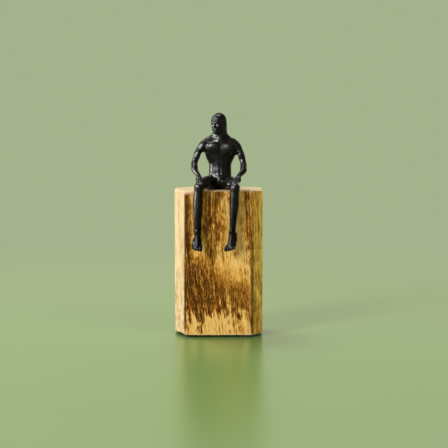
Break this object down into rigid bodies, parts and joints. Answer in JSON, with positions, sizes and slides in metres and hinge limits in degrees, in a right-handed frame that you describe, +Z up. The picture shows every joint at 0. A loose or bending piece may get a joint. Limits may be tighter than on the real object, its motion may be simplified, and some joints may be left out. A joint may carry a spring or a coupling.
{
  "type": "seated figure ornament",
  "caption": "Black cast-metal human figure sitting on the front edge of an upright hardwood block, hands on knees, lower legs hanging; stands on felt pads.",
  "frame": {"origin": "on the table, at the centre of the footprint of block and toes together", "axes": "+Z up; the figure faces -Y, so its right hand is on the -X side"},
  "size_m": [0.078, 0.0637, 0.1991],
  "materials": {
    "block_wood": "bare satin, streaked brown and cream",
    "casting": "black, satin to gloss",
    "rod_steel": "zinc plated",
    "felt": "pressed black felt"
  },
  "bodies": {
    "root": {"wood_block": "block_wood", "seated_figure": "casting", "threaded_rod_right": "rod_steel", "threaded_rod_left": "rod_steel", "felt_pad_front_right": "felt", "felt_pad_front_left": "felt", "felt_pad_rear_right": "felt", "felt_pad_rear_left": "felt"}
  },
  "joints": []
}
